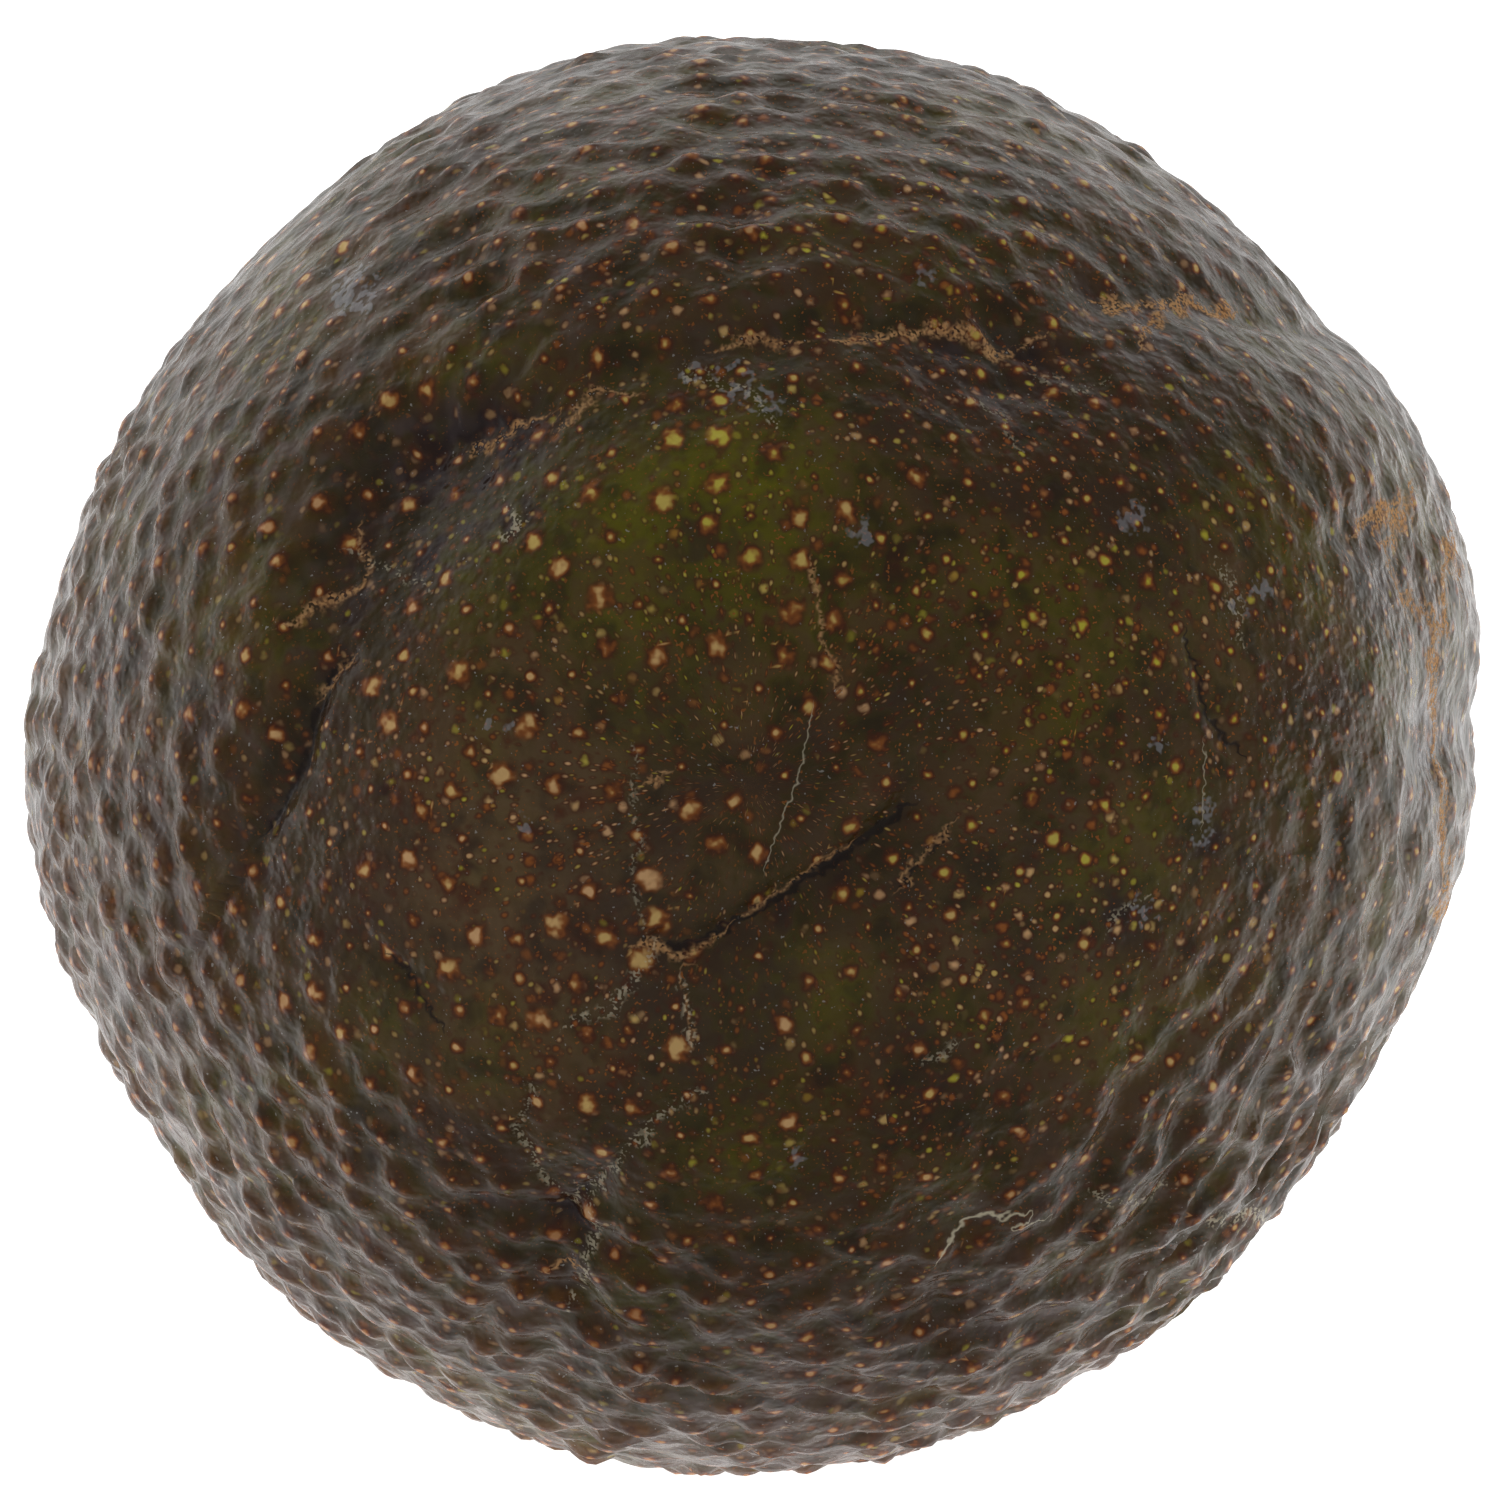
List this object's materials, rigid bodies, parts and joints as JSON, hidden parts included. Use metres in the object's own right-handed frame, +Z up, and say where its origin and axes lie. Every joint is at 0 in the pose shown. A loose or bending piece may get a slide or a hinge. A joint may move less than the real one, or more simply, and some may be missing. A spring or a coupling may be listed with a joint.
{
  "type": "avocado",
  "caption": "Whole ripe avocado with dark pebbled skin, lying on its side on a small flat spot, with the stub of its stalk at the narrow end.",
  "frame": {"origin": "middle of the small flat spot that the fruit rests on, under its centre of mass", "axes": "+Y along the fruit from the broad blossom end to the stem end, +Z up, +X to the right when the blossom end is faced"},
  "size_m": [0.072, 0.0994, 0.0704],
  "materials": {
    "skin": "dark olive-brown pebbled fruit skin, satin, with green patches, orange pores and tan cork",
    "stalk": "dry brown stalk stub, rough and matte"
  },
  "bodies": {
    "root": {"fruit": "skin", "stem_stub": "stalk"}
  },
  "joints": []
}
